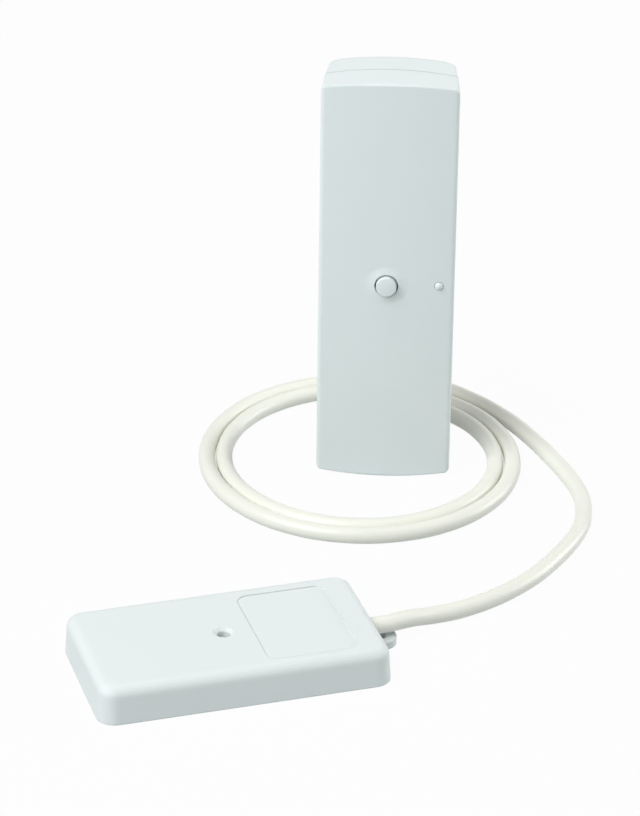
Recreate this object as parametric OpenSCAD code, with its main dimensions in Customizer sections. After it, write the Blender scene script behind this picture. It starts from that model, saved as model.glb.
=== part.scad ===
// Wireless water leak sensor: an upright transmitter, a round cable in two flat loops, and a floor probe.
// Millimetres, +Z up. The floor is z = 0 and the origin is the middle of the floor under both housings.

/* [Transmitter case] */
// Width across the front edges
case_w = 34.4; // [31:0.2:40]
// Height from the lowest to the highest point of the arched ends
case_h = 109; // [98:0.5:130]
// Depth from the crown of the front to the wall face
case_d = 19.6; // [17.6:0.1:22]
// Depth of the rear base, from the wall face to the seam
base_d = 9; // [8.5:0.1:10.5]
// Lean of each side, from the front to the wall face
side_taper = 1.8; // [0.8:0.1:2]
// Rise of the arched ends over the width
end_arch = 1.6; // [1:0.1:2.5]
// Crown of the front over the width
front_bulge = 0.6; // [0.4:0.1:1]
// Lean of the upper end, from the front to the wall face
end_draft = 0.8; // [0.4:0.1:1]
// Rounding of the upright front edges
front_r = 1; // [0.8:0.1:2]
// Rounding of the front edge along the arched ends
end_edge_r = 1; // [0.8:0.1:2]
// Rounding of the upright rear edges
back_r = 3; // [2:0.1:4]
// Rounding of the four corners, seen from the front
corner_r = 2; // [1.6:0.1:4]
// Wall thickness of the case
wall = 1.8; // [1.5:0.1:2]
// Shadow gap at the seam between cover and base
seam_gap = 0.3; // [0.2:0.05:0.5]
// Depth of the base's lip inside the cover
lip_h = 2; // [1.5:0.1:3]
// Thickness of the lip
lip_t = 1; // [0.8:0.1:1.2]

/* [Test button and lamp] */
// Diameter of the button's cap
button_d = 5.2; // [4.5:0.1:6]
// Clearance round the cap
button_gap = 0.35; // [0.3:0.05:0.6]
// How far the cap stands out of its mound
button_proud = 1.1; // [0.9:0.1:1.6]
// Travel of the button
button_travel = 0.5; // [0.3:0.1:0.6]
// Radius of the mound round the button
mound_r = 6.6; // [5.5:0.1:8]
// Height of the mound
mound_h = 0.8; // [0.4:0.1:1]
// Diameter of the lamp's lens
lens_d = 2.1; // [1.8:0.1:2.4]
// Distance from the lens to the side of the case
lens_inset = 4; // [3.8:0.1:4.6]

/* [Board and battery] */
// Distance from the board's edges to the sides of the case
board_margin = 4.2; // [4:0.1:5]
// Thickness of the circuit board
board_t = 1.6; // [1:0.1:1.8]
// Gap from the board to the rear wall
board_gap = 3; // [2.5:0.1:3.2]
// Play of the half-length lithium cell between the front and rear walls
cell_room = 1.5; // [1.2:0.1:2.5]
// Space from the cell to the top of the case
cell_top_room = 8.8; // [8.4:0.1:12]
// Diameter of the two wall screw holes
wall_hole_d = 4.2; // [3.5:0.1:4.5]

/* [Cable] */
// Diameter of the cable's sheath
cable_d = 4.3; // [3.8:0.1:4.3]
// Diameter of a core inside the sheath
core_d = 1.2; // [0.9:0.1:1.3]
// Step of the flat spiral, from turn to turn
coil_pitch = 4.8; // [4.8:0.05:5.2]

/* [Probe] */
// Length of the probe
probe_l = 71; // [66:0.5:80]
// Width of the probe
probe_w = 39; // [37:0.2:44]
// Height of the probe
probe_h = 9.3; // [9.3:0.1:12]
// Rounding of the probe's upright corners
probe_r = 4.6; // [4.4:0.1:6]
// Rounding of the probe's top edges
probe_edge_r = 2.8; // [2:0.1:3]
// Lean of the probe's walls
probe_draft = 0.6; // [0.2:0.1:0.8]
// Wall thickness of the probe's cover
probe_wall = 1.8; // [1.5:0.1:1.8]
// Thickness of the probe's base plate
plate_t = 1.8; // [1.6:0.1:1.8]
// Bore for the screw through the probe
probe_bore_d = 3.2; // [3:0.1:3.6]
// Mouth of the countersink on top of that bore
probe_sink_d = 4.9; // [4.4:0.1:6]
// Distance between the two sensing contacts
contact_pitch = 42; // [38:1:44]
// Width of the tongue at the cable end
tongue_w = 8; // [7:0.2:9]
// Reach of the tongue beyond the end
tongue_l = 6.2; // [6:0.1:8]
// Hole in the tongue
tongue_hole_d = 3; // [2.4:0.1:3.2]

/* [Hidden] */
$fn = 96;

// Clearances: slip between moulded pieces, a close fit, and the running gap round a moving piece
slip = 0.15;
close = 0.05;
running = 0.25;

// How far a cut runs past the face it opens, how far joined bodies reach into each other, and the
// least rounding of an edge
over = 1;
join = 0.1;
least_r = 0.5;

// Where the two housings stand, and how they are turned
transmitter_at = [29.4, 61.2, 0];
transmitter_turn = -2;
probe_at = [-7.7, -42.7, 0];
probe_turn = 17.4;

// Planes of the transmitter, across its depth from its middle
front_y = -case_d / 2;
back_y = case_d / 2;
inner_front_y = front_y + wall;
inner_back_y = back_y - wall;
seam_y = back_y - base_d;
board_back_y = inner_back_y - board_gap;
board_front_y = board_back_y - board_t;
mid_z = case_h / 2;

// Curves of the case
arch_r = (pow(case_w / 2, 2) + pow(end_arch, 2)) / (2 * end_arch);
bulge_r = (pow(case_w / 2 - front_r, 2) + pow(front_bulge, 2)) / (2 * front_bulge);
corner_steps = 6;
corner_cross = 0.03;
crown_steps = 8;

// Layout up the transmitter
cable_inset = 8.7;
cable_x = cable_inset - case_w / 2;
cable_z = 7;
grommet_wall = 1.2;
grommet_rim = 0.65;
grommet_d = cable_d + 2 * grommet_wall;
grommet_flange_d = grommet_d + 2 * grommet_rim;
grommet_flange_t = 1.2;
board_w = case_w - 2 * board_margin;
board_r = 1;
board_z = 11.5;
board_rise = 7;
board_top_z = mid_z + board_rise;
board_h = board_top_z - board_z;
wall_hole_rise = 15;
wall_hole_above = 5;
wall_holes_z = [board_z + wall_hole_rise, board_top_z + wall_hole_above];
wall_access_room = 4.4;
wall_access_d = wall_hole_d + wall_access_room;
post_d = 5;
post_inset = 4;
post_x = board_w / 2 - post_inset;
post_at = [[-post_x, board_top_z - post_inset], [post_x, board_z + post_inset]];
board_screw_d = 2;
board_screw_head_d = 3.8;
board_screw_head_h = 1.4;
board_screw_short = 0.5;
cradle_t = 1.2;
contact_t = 0.4;
spring_gap = 2.4;
spring_in_r = 1;
cradle_gap = 9.5;
cradle_z = board_top_z + cradle_gap;
cell_z = cradle_z + cradle_t + contact_t + spring_gap;
cell_d = case_d - 2 * wall - cell_room;
cell_h = case_h - cell_top_room - cell_z;
cell_seat = 0.4;
cell_y = inner_back_y - cell_d / 2 - cell_seat;
cradle_top_z = cell_z + cell_h + contact_t;
cradle_side = 1.4;
cradle_half_w = cell_d / 2 + cradle_side;
cradle_front_y = cell_y - cell_d / 4;

// Button, switch and lamp
mound_y = front_y + join;
mound_arc_r = (pow(mound_r, 2) + pow(mound_h, 2)) / (4 * mound_h);
button_hole_d = button_d + 2 * button_gap;
mound_rim_h = mound_h - mound_arc_r + sqrt(pow(mound_arc_r, 2) - pow(button_hole_d / 2, 2));
button_front_y = mound_y - mound_rim_h - button_proud;
button_flange_d = button_d + 2.4;
button_flange_t = 1;
button_dish = 0.15;
button_edge_r = 0.5;
button_collar_t = 1.2;
button_collar_h = 2.6;
switch_w = 6;
switch_h = 3.5;
switch_front_y = board_front_y - switch_h;
plunger_d = 3.4;
plunger_out = 1.5;
plunger_well = 1.6;
plunger_y = switch_front_y - plunger_out;
stem_d = 3;
lens_x = case_w / 2 - lens_inset;
lens_rise = 0.6;
pipe_d = 2.2;
pipe_foot_x = lens_x - pipe_d;
pipe_flange_t = 1;
led_size = [2.8, 1.9, 3.2];

// Parts on the board
chip_size = [9, 1.5, 5.3];
chip_at = [board_w * 0.17, board_z + board_h * 0.54];
chip_lead_t = 0.4;
chip_lead_l = 1.2;
chip_leads = 8;
chip_lead_pitch = 1.05;
crystal_size = [10, 3.4, 4.2];
crystal_at = [-board_w * 0.19, board_z + board_h * 0.67];
crystal_rim = 0.4;
crystal_foot = 0.5;
antenna_d = 0.8;
antenna_x = -(board_w / 2 + cradle_half_w) / 2;
antenna_z = board_z + board_h * 0.4;
antenna_lift = 4;
antenna_bend = 1.6;
block_size = [10.2, 7.5, 8];
block_pitch = 5.08;
block_z = board_z + 0.6;
block_x = cable_x + 1;
block_hole_d = core_d + 1;
block_hole_y = board_front_y - 4;
block_screw_d = 3;
block_screw_z = block_size[2] * 0.35;
block_screw_sink = 0.6;
block_screw_gap = 0.3;

// Snap hooks that hold the cover at both ends
hook_w = 8;
hook_h = 1;
hook_reach = 1.1;
hook_root = 0.6;

// Probe: seat of the gasket, places of screws and contacts
gasket_t = 0.5;
gasket_w = 1.4;
ledge_w = probe_wall + 1.6;
ledge_z = plate_t + gasket_t;
probe_hole_at = [-1, -0.6];
label_size = [22, 30];
label_at = [16.8, -0.6];
label_depth = 0.3;
label_r = 3;
cable_probe_z = ledge_z + cable_d / 2 + 2 * slip;
probe_boss_d = probe_sink_d + 2.6;
screw_d = 2.2;
screw_head_d = 4.2;
screw_l = 6.2;
screw_head_h = 1;
screw_sink = 0.1;
screw_room = 0.6;
screw_slot = 0.5;
screw_boss_d = 5.4;
screw_inset = ledge_w + screw_boss_d / 2 - 0.6;
contact_d = 3;
contact_head_d = 7;
contact_head_t = 0.9;
contact_recess = 1.1;
contact_end = 0.6;
contact_nut_af = 5.5;
contact_nut_t = 1.8;
tag_t = 0.5;
tag_d = 6.4;
tag_arm = [2.6, 2.4];
channel_w = 2.4;
channel_h = 0.8;
ring_t = 0.5;
ring_w = 2.4;
stub_l = 6.5;

// Flat spiral of the coil: middle, first radius, stretch along Y, first angle, turn of the whole and step
coil_mid = [24.3, 57.6, 0];
coil_r = 33.1;
coil_stretch = 1.04;
coil_start = 50;
coil_sweep = 675;
coil_step = 15;
coil_sides = 6;
floor_z = cable_d / 2;

// Route of the lead from the rear wall to the coil, and of the tail from the coil to the probe
lead_route = [
    [21.4, 75.5, 7], [21.7, 81, 6.4], [23.7, 86, 5], [28, 89.3, 3.4], [33, 90, 2.5]
];
tail_route = [
    [41, 99.4, floor_z], [47.5, 95.8, floor_z], [52.4, 91.6, floor_z],
    [57.6, 86, floor_z], [63.2, 78.4, floor_z], [67.8, 70.2, floor_z], [72, 61.2, floor_z],
    [75.6, 52.4, floor_z], [78.4, 44, floor_z], [79.7, 37, floor_z], [79.8, 30.6, floor_z],
    [78.8, 23, floor_z], [76.2, 15.6, floor_z], [72.2, 7.4, floor_z], [66.6, -1.8, floor_z],
    [60.4, -9.2, floor_z], [54, -15, floor_z], [47.4, -19.4, floor_z], [41, -23.2, 2.8],
    [35.6, -27.2, 4.2]
];
tube_sides = 10;
core_sides = 8;

// Rounded outlines, as straight lines and true arcs
function unit(v) = v / norm(v);
function half_angle(p, q, s) = acos(unit(p - q) * unit(s - q)) / 2;
function corner_run(p, q, s, r) = r / tan(half_angle(p, q, s));
function corner_middle(p, q, s, r) = q + unit(unit(p - q) + unit(s - q)) * r / sin(half_angle(p, q, s));

module rounded_polygon(points, radii) {
    n = len(points);
    function before(i) = points[(i + n - 1) % n];
    function after(i) = points[(i + 1) % n];
    function run(i) = corner_run(before(i), points[i], after(i), radii[i]);
    polygon([
        for (i = [0 : n - 1])
            each radii[i] == 0 ? [points[i]] : [
                points[i] + unit(before(i) - points[i]) * run(i),
                points[i] + unit(after(i) - points[i]) * run(i)
            ]
    ]);
    for (i = [0 : n - 1])
        if (radii[i] > 0)
            translate(corner_middle(before(i), points[i], after(i), radii[i])) circle(radii[i]);
}

module rounded_rectangle(size, r) {
    x = size[0] / 2;
    y = size[1] / 2;
    rounded_polygon([[-x, -y], [x, -y], [x, y], [-x, y]], [r, r, r, r]);
}

module along_y(y0, y1, d) {
    translate([0, y0, 0]) rotate([-90, 0, 0]) cylinder(d = d, h = y1 - y0);
}

module box_between(low, high) {
    translate(low) cube(high - low);
}

// Tubes swept along a list of points
function curve_point(a, b, c, d, t) =
    0.5 * (2 * b + (c - a) * t + (2 * a - 5 * b + 4 * c - d) * t * t + (3 * b - a - 3 * c + d) * t * t * t);
function smooth(points, steps) = [
    for (i = [0 : len(points) - 2])
        let (
            a = points[max(i - 1, 0)],
            b = points[i],
            c = points[i + 1],
            d = points[min(i + 2, len(points) - 1)]
        )
        for (k = [0 : steps - 1]) curve_point(a, b, c, d, k / steps),
    points[len(points) - 1]
];
function ring(line, i, r, sides) =
    let (
        t = unit(line[i + 1] - line[i - 1]),
        side = unit(cross(t, abs(t[2]) > 0.9 ? [1, 0, 0] : [0, 0, 1])),
        up = cross(side, t)
    )
    [for (k = [0 : sides - 1]) line[i] + r * (sin(k * 360 / sides) * side - cos(k * 360 / sides) * up)];
function with_straight_ends(line) =
    let (n = len(line) - 1)
    concat([2 * line[0] - line[1]], line, [2 * line[n] - line[n - 1]]);

// The first and the last point of the line aren't drawn: they only turn the end faces
module tube(line, d, sides) {
    rings = len(line) - 2;
    polyhedron(
        points = [for (i = [1 : rings]) each ring(line, i, d / 2, sides)],
        faces = concat(
            [for (k = [1 : sides - 2]) [0, k + 1, k]],
            [for (k = [1 : sides - 2]) let (o = (rings - 1) * sides) [o, o + k, o + k + 1]],
            [
                for (i = [0 : rings - 2], k = [0 : sides - 1])
                    let (a = i * sides + k, b = i * sides + (k + 1) % sides)
                    each [[a, b, a + sides], [b, b + sides, a + sides]]
            ]
        )
    );
}

// Places of the two housings
module in_transmitter() {
    translate(transmitter_at) rotate([0, 0, transmitter_turn]) children();
}

module in_probe() {
    translate(probe_at) rotate([0, 0, probe_turn]) children();
}

function turned(p, a) = [p[0] * cos(a) - p[1] * sin(a), p[0] * sin(a) + p[1] * cos(a), p[2]];
function from_transmitter(p) = transmitter_at + turned(p, transmitter_turn);
function from_probe(p) = probe_at + turned(p, probe_turn);

// Corner q of an outline, between p and s, as short steps round its arc
function corner_points(p, q, s, r) =
    let (
        c = corner_middle(p, q, s, r),
        from = q + unit(p - q) * corner_run(p, q, s, r) - c,
        a = atan2(from[1], from[0]),
        turn = 180 - 2 * half_angle(p, q, s)
    )
    [for (i = [0 : corner_steps]) let (b = a + turn * i / corner_steps) c + r * [cos(b), sin(b)]];

// Outer form of the transmitter, or the same form drawn in by an even wall: seen from above
module case_plan(inset) {
    half = case_w / 2 - inset;
    fr = max(front_r - inset, least_r);
    br = max(back_r - inset, least_r);
    y = front_y + front_bulge + inset;
    left = [-half, y];
    right = [half, y];
    rear_right = [half - side_taper, back_y - inset];
    rear_left = [side_taper - half, back_y - inset];
    crown_r = bulge_r - inset;
    spread = asin((half - fr) / crown_r) * (1 - 1 / crown_steps);
    polygon(concat(
        corner_points(rear_left, left, right, fr),
        [
            for (i = [0 : crown_steps])
                let (a = -90 + spread * (2 * i / crown_steps - 1))
                [0, front_y + bulge_r] + crown_r * [cos(a), sin(a)]
        ],
        corner_points(left, right, rear_right, fr),
        corner_points(right, rear_right, rear_left, br),
        corner_points(rear_right, rear_left, left, br)
    ));
}

// Round disc whose rim is the arched upper end, with the rounded front edge; it leans by the draft
module case_end_disc(inset, draft) {
    r = arch_r - inset;
    ahead = inset - join;
    translate([0, front_y, case_h]) rotate([-atan(draft / case_d), 0, 0]) translate([0, 0, -arch_r])
        rotate([-90, 0, 0]) rotate_extrude($fn = 360) rounded_polygon(
            [[0, ahead], [r, ahead], [r, 2 * case_d], [0, 2 * case_d]],
            [0, max(end_edge_r - inset, least_r), 0, 0]
        );
}

// The same form seen from the front: straight sides, and four round corners that just cross the arched ends
module case_elevation(inset) {
    half = case_w / 2 - inset;
    r = max(corner_r - inset, least_r);
    lean = asin((half - r) / (arch_r - inset - r));
    c = [half - r, arch_r - (arch_r - inset - r) * cos(lean) - corner_cross];
    quarter = [
        for (i = [0 : corner_steps])
            let (a = (lean - 90) * (1 - i / corner_steps))
            c + r * [cos(a), sin(a)]
    ];
    right = concat(
        [[quarter[0][0], -over]],
        quarter,
        [for (i = [corner_steps : -1 : 0]) [quarter[i][0], case_h - quarter[i][1]]],
        [[quarter[0][0], case_h + over]]
    );
    polygon(concat(right, [for (i = [len(right) - 1 : -1 : 0]) [-right[i][0], right[i][1]]]));
}

module case_form(inset) {
    intersection() {
        translate([0, 0, -2 * over]) linear_extrude(case_h + 4 * over) case_plan(inset);
        translate([0, case_d, 0]) rotate([90, 0, 0]) linear_extrude(2 * case_d) case_elevation(inset);
        case_end_disc(inset, end_draft);
        translate([0, 0, case_h]) mirror([0, 0, 1]) case_end_disc(inset, 0);
    }
}

module case_slice(inset, y0, y1) {
    intersection() {
        case_form(inset);
        box_between([-case_w, y0, -over], [case_w, y1, case_h + over]);
    }
}

// Space of one snap hook, grown all round by a clearance; end is 1 at the top and -1 at the bottom
module hook_space(end, grow) {
    z = mid_z + end * (mid_z - wall + hook_root / 2 - hook_reach / 2);
    translate([0, seam_y - (lip_h + hook_h) / 2 + running, z])
        cube([hook_w + 2 * grow, hook_h + 2 * grow, hook_reach + hook_root + 2 * grow], center = true);
}

module button_mound() {
    translate([0, mound_y, mid_z]) rotate([90, 0, 0]) rotate_extrude() {
        intersection() {
            translate([0, -wall / 2]) square([mound_r / 2, wall / 2 + mound_h]);
            translate([0, mound_h - mound_arc_r]) circle(mound_arc_r, $fn = 360);
        }
        difference() {
            translate([mound_r / 2, -wall / 2]) square([mound_r / 2, (wall + mound_h) / 2]);
            translate([mound_r, mound_arc_r]) circle(mound_arc_r, $fn = 360);
        }
    }
}

module front_cover() {
    color("white") in_transmitter() difference() {
        union() {
            difference() {
                case_slice(0, front_y - over, seam_y - seam_gap / 2);
                case_form(wall);
            }
            button_mound();
            translate([0, 0, mid_z]) difference() {
                along_y(
                    inner_front_y - wall / 2,
                    inner_front_y + button_collar_h,
                    button_flange_d + 2 * running + 2 * button_collar_t
                );
                along_y(
                    inner_front_y,
                    inner_front_y + button_collar_h + over,
                    button_flange_d + 2 * running
                );
            }
            for (end = [-1, 1]) hook_space(end, 0);
        }
        translate([0, 0, mid_z])
            along_y(front_y - mound_h - over, inner_front_y + front_bulge, button_hole_d);
        translate([lens_x, 0, mid_z])
            along_y(front_y - over, inner_front_y + front_bulge + over, lens_d + 2 * close);
    }
}

module board_posts() {
    for (p = post_at) translate([p[0], 0, p[1]]) along_y(board_back_y, inner_back_y + wall / 2, post_d);
}

module battery_cradle() {
    for (z = [cradle_z, cradle_top_z])
        box_between(
            [-cradle_half_w, cradle_front_y, z],
            [cradle_half_w, inner_back_y + wall / 2, z + cradle_t]
        );
    difference() {
        for (z = [cell_z + cell_h / 4, cell_z + cell_h * 3 / 4])
            box_between(
                [-cradle_half_w, cell_y + cell_d / 4, z - cradle_t / 2],
                [cradle_half_w, inner_back_y + wall / 2, z + cradle_t / 2]
            );
        translate([0, cell_y, cell_z - over]) cylinder(d = cell_d + 2 * slip, h = cell_h + 2 * over);
    }
}

module rear_base() {
    lip_out = wall + slip;
    lip_in = lip_out + lip_t;
    color("whitesmoke") in_transmitter() difference() {
        union() {
            difference() {
                case_slice(0, seam_y + seam_gap / 2, back_y + over);
                case_form(wall);
            }
            difference() {
                union() {
                    case_slice(wall / 2, seam_y + seam_gap, seam_y + lip_h);
                    case_slice(lip_out, seam_y - lip_h, seam_y + lip_h);
                }
                case_form(lip_in);
            }
            board_posts();
            battery_cradle();
        }
        for (end = [-1, 1]) hook_space(end, running);
        for (z = wall_holes_z)
            translate([0, 0, z]) along_y(inner_back_y - over, back_y + over, wall_hole_d);
        translate([cable_x, 0, cable_z])
            along_y(inner_back_y - over, back_y + over, grommet_d + 2 * slip);
        for (p = post_at)
            translate([p[0], 0, p[1]]) along_y(board_back_y - over, inner_back_y, board_screw_d + slip);
    }
}

module test_button() {
    flange_y = inner_front_y + slip;
    cap_h = flange_y - button_front_y;
    color("white") in_transmitter() translate([0, 0, mid_z]) {
        translate([0, button_front_y, 0]) rotate([-90, 0, 0]) rotate_extrude() rounded_polygon(
            [[0, 0], [button_d / 2, button_dish], [button_d / 2, cap_h], [0, cap_h]],
            [0, button_edge_r, 0, 0]
        );
        along_y(flange_y, flange_y + button_flange_t, button_flange_d);
        along_y(flange_y, plunger_y - slip / 2, stem_d);
    }
}

// Lens, its flange behind the crowned front, and a foot that reaches the lamp on the board
module light_pipe() {
    flange_y = inner_front_y + front_bulge + slip;
    lens_y = front_y + front_bulge / 2;
    cap_r = (pow(lens_d / 2, 2) + pow(lens_rise, 2)) / (2 * lens_rise);
    color("honeydew") in_transmitter() translate([0, 0, mid_z]) {
        translate([lens_x, 0, 0]) {
            along_y(lens_y, flange_y + pipe_flange_t, lens_d);
            along_y(flange_y, flange_y + pipe_flange_t, pipe_d);
            intersection() {
                translate([0, lens_y - lens_rise + cap_r, 0]) sphere(cap_r);
                along_y(lens_y - lens_rise, lens_y + lens_rise / 3, lens_d);
            }
        }
        translate([pipe_foot_x, flange_y, -pipe_d / 2]) cube([lens_x - pipe_foot_x, pipe_flange_t, pipe_d]);
        translate([pipe_foot_x, 0, 0]) along_y(flange_y, board_front_y - led_size[1] - slip, pipe_d);
    }
}

module circuit_board() {
    color("seagreen") in_transmitter() difference() {
        translate([0, board_back_y, board_z + board_h / 2]) rotate([90, 0, 0])
            linear_extrude(board_t) rounded_rectangle([board_w, board_h], board_r);
        translate([0, 0, wall_holes_z[0]])
            along_y(board_front_y - over, board_back_y + over, wall_access_d);
        for (p = post_at) translate([p[0], 0, p[1]])
            along_y(board_front_y - over, board_back_y + over, board_screw_d + 2 * slip);
    }
}

module button_switch() {
    color("dimgray") in_transmitter() translate([0, 0, mid_z]) difference() {
        box_between(
            [-switch_w / 2, switch_front_y, -switch_w / 2],
            [switch_w / 2, board_front_y, switch_w / 2]
        );
        along_y(
            switch_front_y - over,
            switch_front_y + plunger_well + button_travel,
            plunger_d + 2 * running
        );
    }
}

module switch_plunger() {
    color("black") in_transmitter() translate([0, 0, mid_z])
        along_y(plunger_y, switch_front_y + plunger_well - running, plunger_d);
}

module status_led() {
    color("lightyellow") in_transmitter() translate([pipe_foot_x, board_front_y, mid_z]) {
        base_t = led_size[1] * 0.6;
        box_between([-led_size[0] / 2, -base_t, -led_size[2] / 2], [led_size[0] / 2, 0, led_size[2] / 2]);
        along_y(-led_size[1], -base_t + join, led_size[0] * 0.85);
    }
}

module controller_chip() {
    color("darkslategray") in_transmitter() translate([chip_at[0], board_front_y, chip_at[1]]) {
        box_between(
            [-chip_size[0] / 2, -chip_size[1], -chip_size[2] / 2],
            [chip_size[0] / 2, -chip_lead_t / 4, chip_size[2] / 2]
        );
        for (i = [0 : chip_leads - 1])
            translate([(i - (chip_leads - 1) / 2) * chip_lead_pitch, -chip_lead_t / 2, 0])
                cube([chip_lead_t, chip_lead_t, chip_size[2] + 2 * chip_lead_l], center = true);
    }
}

module crystal() {
    color("silver") in_transmitter() translate([crystal_at[0], board_front_y, crystal_at[1]])
        rotate([90, 0, 0]) {
            l = crystal_size[0];
            w = crystal_size[2];
            linear_extrude(crystal_foot) rounded_rectangle([l, w], w / 2 - join);
            linear_extrude(crystal_size[1])
                rounded_rectangle([l - 2 * crystal_rim, w - 2 * crystal_rim], w / 2 - crystal_rim - join);
        }
}

module antenna() {
    y = board_front_y - antenna_lift;
    low_z = antenna_z + antenna_bend;
    top_z = cradle_top_z - cradle_t;
    color("goldenrod") in_transmitter() translate([antenna_x, 0, 0]) {
        translate([0, 0, antenna_z]) along_y(y + antenna_bend, board_front_y, antenna_d);
        translate([0, y + antenna_bend, low_z]) rotate([90, 0, -90])
            rotate_extrude(angle = 90, start = -90) translate([antenna_bend, 0]) circle(d = antenna_d);
        translate([0, y, low_z]) cylinder(d = antenna_d, h = top_z - low_z);
    }
}

module battery() {
    nub_d = cell_d / 3;
    nub_h = 1;
    crimp = 0.5;
    color("royalblue") in_transmitter() translate([0, cell_y, cell_z]) rotate_extrude() {
        rounded_polygon(
            [[0, 0], [cell_d / 2, 0], [cell_d / 2, cell_h - nub_h], [0, cell_h - nub_h]],
            [0, crimp, crimp, 0]
        );
        translate([0, cell_h - 2 * nub_h]) square([nub_d / 2, 2 * nub_h]);
    }
}

module battery_contact_positive() {
    plate = [cell_d * 0.55, cell_d * 0.4];
    strip_w = cell_d / 5;
    strip_x = cradle_half_w + contact_t;
    foot_z = board_top_z - 2;
    color("gainsboro") in_transmitter() {
        box_between(
            [-plate[0] / 2, cell_y - plate[1] / 2, cradle_top_z - contact_t],
            [strip_x + contact_t, cell_y + plate[1] / 2, cradle_top_z]
        );
        box_between(
            [strip_x, cell_y - strip_w / 2, foot_z],
            [strip_x + contact_t, cell_y + strip_w / 2, cradle_top_z]
        );
        box_between(
            [strip_x, cell_y - strip_w / 2, foot_z],
            [strip_x + contact_t, board_front_y, foot_z + strip_w]
        );
    }
}

module battery_contact_negative() {
    plate = [cell_d * 0.62, cell_d * 0.55];
    low_z = cradle_z + cradle_t;
    top = spring_gap + contact_t - slip;
    color("gainsboro") in_transmitter() {
        box_between(
            [-plate[0] / 2, cell_y - plate[1] / 2, low_z],
            [plate[0] / 2, cell_y + plate[1] / 2, low_z + contact_t]
        );
        translate([0, cell_y, low_z]) rotate_extrude()
            polygon([
                [spring_in_r, contact_t / 2], [cell_d / 4, contact_t / 2],
                [cell_d / 8, top], [spring_in_r, top]
            ]);
    }
}

module terminal_block() {
    hole_y = block_hole_y - board_front_y;
    well_d = block_screw_d + 2 * slip;
    color("limegreen") in_transmitter() translate([block_x, board_front_y, block_z]) difference() {
        translate([-block_size[0] / 2, 0, 0]) rotate([90, 0, 90]) linear_extrude(block_size[0])
            polygon([
                [0, 0], [-block_size[1], 0], [-block_size[1], block_size[2] * 0.7],
                [-block_size[1] * 0.75, block_size[2]], [0, block_size[2]]
            ]);
        for (side = [-1, 1]) translate([side * block_pitch / 2, 0, 0]) {
            translate([0, hole_y, -over]) cylinder(d = block_hole_d, h = block_size[2] * 0.6 + over);
            translate([0, 0, block_screw_z])
                along_y(-block_size[1] - over, hole_y - block_screw_gap - core_d / 2, well_d);
        }
    }
}

module terminal_screws() {
    slot = [0.6, 0.7];
    head_y = board_front_y - block_size[1] + block_screw_sink;
    tip_y = block_hole_y - core_d / 2 - block_screw_gap - join;
    color("silver") in_transmitter() translate([block_x, 0, block_z + block_screw_z])
        for (side = [-1, 1]) translate([side * block_pitch / 2, 0, 0]) difference() {
            along_y(head_y, tip_y, block_screw_d);
            translate([0, head_y, 0]) cube([block_screw_d + over, 2 * slot[1], slot[0]], center = true);
        }
}

module board_screws() {
    color("silver") in_transmitter() for (p = post_at) translate([p[0], 0, p[1]]) difference() {
        union() {
            along_y(board_front_y, inner_back_y - board_screw_short, board_screw_d);
            along_y(board_front_y - board_screw_head_h, board_front_y, board_screw_head_d);
        }
        for (turn = [0, 90]) translate([0, board_front_y - board_screw_head_h, 0]) rotate([0, turn, 0])
            cube([board_screw_head_d * 0.6, board_screw_head_h, screw_slot], center = true);
    }
}

module cable_grommet() {
    color("ivory") in_transmitter() translate([cable_x, 0, cable_z]) difference() {
        union() {
            along_y(inner_back_y - grommet_flange_t, inner_back_y, grommet_flange_d);
            along_y(inner_back_y - grommet_flange_t, back_y, grommet_d);
        }
        along_y(inner_back_y - grommet_flange_t - over, back_y + over, cable_d + slip);
    }
}

// Stripped end of the cable inside the transmitter: the sheath through the grommet, then two cores
module transmitter_leads() {
    sheath_y = inner_back_y - grommet_flange_t / 2 * 3;
    color("ivory") in_transmitter() {
        translate([cable_x, 0, cable_z]) along_y(sheath_y, back_y, cable_d);
        for (side = [-1, 1]) {
            x0 = cable_x + side * core_d * 0.7;
            x1 = block_x + side * block_pitch / 2;
            tube(
                with_straight_ends(smooth([
                    [x0, sheath_y, cable_z], [x0, sheath_y - 2, cable_z],
                    [(x0 + x1) / 2, (sheath_y + block_hole_y) / 2 - 1.4, cable_z + 0.6],
                    [x1, block_hole_y, block_z - 1.2], [x1, block_hole_y, block_z + 2.5]
                ], 3)),
                core_d,
                core_sides
            );
        }
    }
}

// Cable outside the housings: a lead, a flat spiral on the floor, and a tail, end to end
function coil_radius(swept) = coil_r + coil_pitch * swept / 360;
function coil_point(swept) =
    let (a = coil_start - swept, r = coil_radius(swept))
    coil_mid + [r * cos(a), coil_stretch * r * sin(a), floor_z];
coil_line = [for (swept = [-coil_step : coil_step : coil_sweep + coil_step]) coil_point(swept)];
coil_gap = min([
    for (i = [0 : len(coil_line) - 1], j = [i + 6 : 1 : len(coil_line) - 1])
        norm(coil_line[i] - coil_line[j])
]) - cable_d;
echo(least_gap_between_turns = coil_gap);

module cable_lead() {
    color("ivory") tube(
        concat(
            [for (y = [back_y - cable_d, back_y]) from_transmitter([cable_x, y, cable_z])],
            smooth(concat(lead_route, [coil_point(-coil_step)]), 2),
            [coil_point(0), coil_point(coil_step)]
        ),
        cable_d,
        tube_sides
    );
}

module cable_coil() {
    color("ivory") tube(coil_line, cable_d, coil_sides);
}

module cable_tail() {
    color("ivory") tube(
        concat(
            [coil_point(coil_sweep - coil_step), coil_point(coil_sweep)],
            smooth(concat([coil_point(coil_sweep + coil_step)], tail_route, [at_probe_end(cable_d)]), 2),
            [at_probe_end(0), at_probe_end(-cable_d)]
        ),
        cable_d,
        tube_sides
    );
}

function at_probe_end(run) = from_probe([probe_l / 2 + run, 0, cable_probe_z]);

// Outer form of the probe: one wall section, as two crossing prisms and four turned corners
function probe_edge(reach) =
    corner_points([reach, 0], [reach - probe_draft, probe_h], [0, probe_h], probe_edge_r);

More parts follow.
